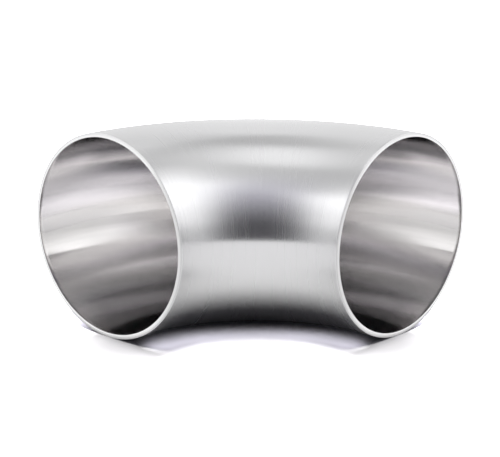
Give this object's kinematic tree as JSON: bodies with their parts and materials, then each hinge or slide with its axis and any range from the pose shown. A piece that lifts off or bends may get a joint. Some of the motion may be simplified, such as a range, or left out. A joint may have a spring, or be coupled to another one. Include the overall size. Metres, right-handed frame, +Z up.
{
  "type": "mandrel bend",
  "caption": "Quarter-turn stainless tube bend with two open square-cut ends, for butt welding into a tube run.",
  "frame": {"origin": "on the floor, in the middle of the square that the bend covers as it lies on its side", "axes": "+Z up, square to the plane of the bend; one port faces -Y and the other faces -X"},
  "size_m": [0.1142, 0.1142, 0.0762],
  "materials": {
    "satin_stainless": "satin stainless steel with fine brushing round the girth of the tube"
  },
  "bodies": {
    "root": {"bend_tube": "satin_stainless"}
  },
  "joints": []
}
